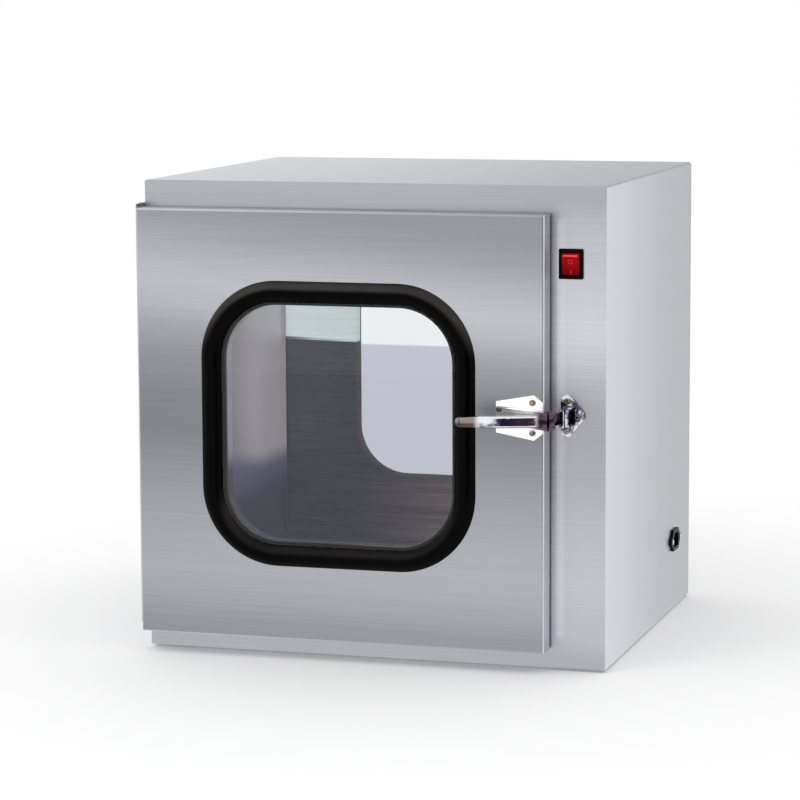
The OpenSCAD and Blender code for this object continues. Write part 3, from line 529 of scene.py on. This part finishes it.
def lever_paint(g):
    """Bright plating painted with its reflections: a warm grey tip over a brown one below, dark mottled
    reflections next to it, a brown reflection along its lower edge and a dark hub.
    """
    p = g.place()
    x, _y, z = g.axes(p)
    along, up = x - LEVER_TIP, z - LATCH_Z
    patch = g.noise(p, (60.0, 60.0, 140.0), 3.0, 0.6)
    mottle = patch.rise(0.4, 0.6)
    upper = up.rise(-0.0025, 0.0005)
    # Painted reflections in the plating, along the lever and up its side.
    tip = g.blend(upper, rgb(92, 74, 66), rgb(146, 141, 140))
    colour = g.blend(along.fall(*GREY_TIP), rgb(238, 239, 242), tip)
    dark_reflection = (1.0 - upper) * along.within(*DARK_REFLECTIONS) * mottle
    colour = g.blend(dark_reflection * 0.9, colour, rgb(74, 74, 104))
    underside = up.fall(-0.0058, -0.004) * along.rise(*UNDERSIDE)
    colour = g.blend(underside, colour, rgb(140, 104, 84))
    hub = g.blend(mottle, rgb(40, 30, 38), rgb(98, 80, 92))
    colour = g.blend(along.rise(*HUB), colour, hub)
    return {
        "Base_Color": colour,
        "Roughness": (patch - 0.5) * 0.06 + 0.1,
        "Normal": g.bump(patch, 0.25, 0.001),
    }


# The off ring and the on bar on the rocker, up from the switch's middle, and the painted glint along its top.
RING_UP = 0.0023
RING_RADIUS = 0.0021
BAR_UP = -0.0085
BAR_HALF = 0.0019
GLINT_UP = 0.0087


def rocker_paint(g):
    """Clear red plastic, painted lighter towards its top, with a raised ring and bar and a painted glint
    along its upper edge.
    """
    p = g.place()
    x, _y, z = g.axes(p)
    across, up = x - SWITCH_X, z - SWITCH_Z
    ring_up = up - RING_UP
    ring = ((across * across + ring_up * ring_up).root() - RING_RADIUS).size()
    bar = across.size().most((up - BAR_UP).size() - BAR_HALF)
    mark = ring.fall(0.0002, 0.0005).most(bar.fall(0.0002, 0.0005))
    # A painted glint along the rocker's upper edge.
    glint = (up - GLINT_UP).size().fall(0.0004, 0.0011) * across.size().fall(0.0068, 0.0082)
    cloud = g.noise(p, 160.0)
    # Painted light: the red is darker low on the rocker and brighter high up.
    colour = g.blend(up.rise(-0.0185, 0.0125), rgb(88, 0, 2), rgb(176, 0, 6))
    colour = g.blend(mark, colour, rgb(188, 64, 64))
    colour = g.blend(glint, colour, rgb(255, 92, 84))
    return {
        "Base_Color": g.shade(colour, (cloud - 0.5) * 0.1 + 1.0),
        "Roughness": (cloud - 0.5) * 0.06 + 0.2,
        "Normal": g.bump(mark, 0.3, 0.0003),
    }


def both(*names):
    """The same pieces at the front and at the rear."""
    return [f"{end}_{name}" for name in names for end in ENDS]


FINISHES = {}


def finish(name, nodes, paint, **constants):
    """Makes one finish and gives it to its CAD nodes."""
    made = FINISHES[name] = material(name, paint, **constants)
    for node in nodes:
        for slot in NODES[node].material_slots:
            slot.link = "OBJECT"
            slot.material = made


def metal(name, nodes, paint, **constants):
    """A finish of bare or plated metal."""
    finish(name, nodes, paint, Metallic=1.0, **constants)


def dress():
    """Gives every CAD node its finish."""
    # The sheet finishes emit their painted glows at full strength.
    metal("door_sheet", both("door_skin"), door_paint, Emission_Strength=1.0)
    metal("cabinet_sheet", ["outer_shell", *both("frame")], cabinet_paint, Emission_Strength=1.0)
    metal("plain_sheet", ["base_pan"], grained(rgb(165)))
    metal("pan_sheet", both("door_inner_pan"), pan_paint, Specular_Tint=(0.1, 0.1, 0.1, 1.0),
          Emission_Strength=1.0)
    metal("chamber_sheet", ["chamber_liner"], liner_paint, Emission_Strength=1.0)
    metal("hinge_metal", ["hinge_pins", *both("hinge_frame_leaf", "hinge_door_leaf")],
          grained(rgb(150), 0.1, 0.3))
    metal("lever_chrome", both("latch_lever"), lever_paint)
    # The latch plate's plating glows a little as painted light.
    metal("plate_chrome", both("latch_base"), plated(rgb(244, 244, 246), rgb(96, 76, 86), base_dusk),
          Emission_Strength=0.22)
    metal("keeper_chrome", both("keeper", "keeper_roller"),
          plated(rgb(222, 226, 232), rgb(84, 84, 104), keeper_dusk))
    metal("dark_chrome", ["keeper_pins", *both("latch_pin")], plated(rgb(120, 112, 124), rough=0.2))
    metal("screw_metal", ["keeper_screws", *both("latch_screws")], screw_paint)
    metal("bright_screws", ["lamp_screws", "ballast_screws", "inlet_screws", "interlock_shaft"],
          grained(rgb(212), 0.1, 0.24, 300.0))
    finish("window_rubber", both("window_moulding"), bead_paint, Specular_IOR_Level=0.05)
    finish("seal_rubber", ["feet", *both("door_seal")], moulded(rgb(24, 24, 26), 0.6), Specular_IOR_Level=0.2)
    finish("black_plastic", ["switch_housing", "inlet_housing", "interlock_guides"],
           moulded(rgb(12, 9, 14), 0.3), Specular_IOR_Level=0.03)
    finish("red_plastic", ["switch_rocker"], rocker_paint, Specular_IOR_Level=0.06)
    finish("white_plastic", ["lamp_holders"], moulded(rgb(225, 225, 220)))
    finish("white_enamel", ["ballast", "lamp_bracket"], moulded(rgb(228, 229, 226), 0.3, 300.0, 0.08))
    finish("tube_glass", ["lamp_tube"], moulded(rgb(236, 240, 244), 0.12, 300.0, 0.0, 0.04),
           Emission_Color=(0.9, 0.97, 1.0, 1.0), Emission_Strength=3.0)
    metal("cap_metal", ["lamp_end_caps"], grained(rgb(180, 180, 182), spread=(60.0, 900.0, 900.0)))
    metal("brass", ["switch_terminals", "inlet_pins"], grained(rgb(212, 182, 110), spread=200.0))
    finish("wire_sleeve", ["wiring_harness"], moulded(rgb(60, 62, 66), 0.5))
    finish("window_glass", both("window_glass"), clear_pane, Transmission_Weight=1.0, IOR=1.45,
           Base_Color=(0.93, 0.95, 0.96, 1.0))


# ---------------------------------------------------------------- castings

SAME_PLACE = 1e-6
FLAT = math.radians(2.0)
CREASE = math.radians(35.0)
SHARP = math.radians(30.0)

# From the lever's tip: where its taper and its rounding start, and how long each takes.
TAPER_FROM, TAPER_LENGTH = 0.0252, 0.025
ROUND_FROM, ROUND_LENGTH = 0.0067, 0.0068


def tapered_tip(co):
    """Narrows the lever's last inch from above and rounds its end."""
    along = co.x - LEVER_TIP
    taper = min(max((TAPER_FROM - along) / TAPER_LENGTH, 0.0), 1.0)
    turn = min(max((ROUND_FROM - along) / ROUND_LENGTH, 0.0), 1.0)
    share = math.sqrt(1.0 - 0.75 * turn * turn)
    if co.z > LATCH_Z:
        share *= 1.0 - 0.35 * taper
    co.z = LATCH_Z + (co.z - LATCH_Z) * share


def softened(node, name, body, finish_name, width, shape=None):
    """A copy of a CAD solid with rounded edges, in place of that solid; shape(co) moves its points first."""
    mesh = NODES[node].data.copy()
    mesh.materials.clear()
    mesh.materials.append(FINISHES[finish_name])
    bm = bmesh.new()
    bm.from_mesh(mesh)
    for face in bm.faces:
        face.material_index = 0
    if shape:
        for vert in bm.verts:
            shape(vert.co)
    bmesh.ops.remove_doubles(bm, verts=bm.verts, dist=SAME_PLACE)
    bmesh.ops.dissolve_limit(bm, angle_limit=FLAT, verts=bm.verts, edges=bm.edges, delimit={"NORMAL"})
    sharp = [e for e in bm.edges if len(e.link_faces) == 2 and e.calc_face_angle(0.0) > CREASE]
    bmesh.ops.bevel(bm, geom=sharp, offset=width, offset_type="OFFSET", affect="EDGES", segments=3,
                    profile=0.5, material=-1, clamp_overlap=True)
    for face in bm.faces:
        face.smooth = True
    bm.to_mesh(mesh)
    bm.free()
    mesh.set_sharp_from_angle(angle=SHARP)
    piece = bpy.data.objects.new(name, mesh)
    bpy.context.scene.collection.objects.link(piece)
    piece.modifiers.new("flat_faces", "WEIGHTED_NORMAL").keep_sharp = True
    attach(piece, body)
    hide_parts(node)


def build_castings():
    """The plated latch castings, the switch and the inlet, with the small roundings that catch the light."""
    for end in ENDS:
        softened(f"{end}_latch_base", f"{end}_latch_plate_casting", f"{end}_door", "plate_chrome",
                 0.0004)
        softened(f"{end}_keeper", f"{end}_keeper_casting", "cabinet", "keeper_chrome", 0.0007)
        softened(f"{end}_latch_lever", f"{end}_lever_casting", f"{end}_latch", "lever_chrome",
                 0.0005, tapered_tip)
    softened("switch_housing", "switch_bezel", "cabinet", "black_plastic", 0.0004)
    softened("switch_rocker", "switch_rocker_cap", "switch", "red_plastic", 0.0006)
    softened("inlet_housing", "inlet_body", "cabinet", "black_plastic", 0.0004)


# ---------------------------------------------------------------- room

WINDOW_HAZE = rgb(206, 205, 216)
# How far out on the floor the haze that the windows show turns white, and over what length.
HORIZON = 2.53
HORIZON_FADE = 0.02
FLOOR_SIZE = 60.0


def build_floor():
    """A white floor that keeps the object's shadow. Through the windows it shows a hazy room behind."""
    bpy.ops.mesh.primitive_plane_add(size=FLOOR_SIZE, location=(0, 0, 0))
    floor = bpy.context.object
    floor.name = "floor"
    made = bpy.data.materials.new("floor_paper")
    g = Graph(made)
    p = g.place()
    tone = g.noise(p, 3.0)
    paper = g.node("ShaderNodeBsdfDiffuse", {"Color": g.shade(WHITE, (tone - 0.5) * 0.01 + 1.0)})
    far = g.axes(p)[1].size().rise(HORIZON - HORIZON_FADE, HORIZON + HORIZON_FADE)
    haze = g.node("ShaderNodeEmission", {"Color": g.blend(far, WINDOW_HAZE, WHITE)})
    clean = g.node("ShaderNodeEmission", {"Color": WHITE})
    through = g.ray("Transmission")
    mixed = g.node("ShaderNodeMixShader", {0: through, 1: paper, 2: haze})
    mixed = g.node("ShaderNodeMixShader", {0: g.ray("Glossy") * (1.0 - through), 1: mixed, 2: clean})
    g.close("ShaderNodeOutputMaterial", mixed)
    floor.data.materials.append(made)


CARD_PLACE = (0.60, -1.08, 0.27)
CARD_SIZE = 0.70
CARD_TURN = 17


def build_dark_card():
    """An upright card that only shiny surfaces see: it gives the chrome its dark, mottled reflections."""
    bpy.ops.mesh.primitive_plane_add(size=1.0, location=CARD_PLACE)
    card = bpy.context.object
    card.name = "dark_card"
    card.scale = (CARD_SIZE, CARD_SIZE, 1.0)
    card.rotation_euler = (math.radians(90), 0.0, math.radians(CARD_TURN))
    made = bpy.data.materials.new("dark_card_cloth")
    g = Graph(made)
    p = g.place()
    x, y, _z = g.axes(p)
    patch = g.noise(p, 4.0, 3.0, 0.6)
    colour = g.blend((patch + x * 0.25).rise(0.46, 0.58), rgb(22, 24, 58), rgb(62, 42, 54))
    colour = g.blend(y.rise(-0.5, -0.3), rgb(96, 66, 54), colour)
    rim = (x.size().most(y.size()) + (patch - 0.5) * 0.2).rise(0.36, 0.5)
    g.close("ShaderNodeOutputMaterial",
            g.node("ShaderNodeEmission", {"Color": g.blend(rim, colour, rgb(250, 250, 255))}))
    card.data.materials.append(made)
    card.visible_camera = card.visible_diffuse = card.visible_shadow = False
    card.visible_transmission = card.visible_volume_scatter = False


def build_sky():
    """White all round, a little greyer low down for the parts that mirror it."""
    world = bpy.data.worlds.new("studio")
    bpy.context.scene.world = world
    g = Graph(world)
    height = g.axes(g.node("ShaderNodeTexCoord", out="Generated"))[2].size()
    mirrored = g.ray("Glossy") * (1.0 - g.ray("Transmission"))
    colour = g.shade(WHITE, 1.0 - height.fall(0.0, 0.5) * 0.05 * mirrored)
    g.close("ShaderNodeOutputWorld", g.node("ShaderNodeBackground", {"Color": colour, "Strength": 1.0}))


LAMP_PLACE = Vector((-1.6, -2.2, 2.4))
LAMP_AIM = Vector((0.0, 0.0, 0.25))
LAMP_SIZE = 1.6
LAMP_POWER = 9.0


def build_lamp():
    """One soft square lamp, high in front of the object and to its left."""
    data = bpy.data.lights.new("key", "AREA")
    data.shape, data.size, data.energy = "SQUARE", LAMP_SIZE, LAMP_POWER
    lamp = bpy.data.objects.new("key", data)
    bpy.context.scene.collection.objects.link(lamp)
    lamp.location = LAMP_PLACE
    lamp.rotation_mode = "QUATERNION"
    lamp.rotation_quaternion = (LAMP_AIM - LAMP_PLACE).to_track_quat("-Z", "Y")


CAMERA_PLACE = (0.96455, -3.32171, 0.71471)
# Azimuth, elevation and roll, in degrees, and the lens and sensor in millimetres.
CAMERA_ANGLES = (16.7187, 7.676, -0.2633)
LENS = 141.528
SENSOR = 36.0


def build_camera():
    """The standing view: a long lens, a little above the object and to its right."""
    azimuth, elevation, roll = (math.radians(angle) for angle in CAMERA_ANGLES)
    back = Vector((
        math.sin(azimuth) * math.cos(elevation),
        -math.cos(azimuth) * math.cos(elevation),
        math.sin(elevation),
    ))
    level_right = (-back).cross(Vector((0, 0, 1))).normalized()
    level_up = level_right.cross(-back)
    right = level_right * math.cos(roll) + level_up * math.sin(roll)
    up = level_up * math.cos(roll) - level_right * math.sin(roll)
    data = bpy.data.cameras.new("camera")
    data.lens, data.sensor_width = LENS, SENSOR
    data.clip_start, data.clip_end = 0.05, 100.0
    camera = bpy.data.objects.new("camera", data)
    bpy.context.scene.collection.objects.link(camera)
    turn = Matrix((right, up, back)).transposed().to_4x4()
    camera.matrix_world = Matrix.Translation(CAMERA_PLACE) @ turn
    bpy.context.scene.camera = camera


build_camera()
dress()
build_castings()
build_floor()
build_sky()
build_dark_card()
build_lamp()

bpy.context.scene.view_settings.view_transform = "Standard"
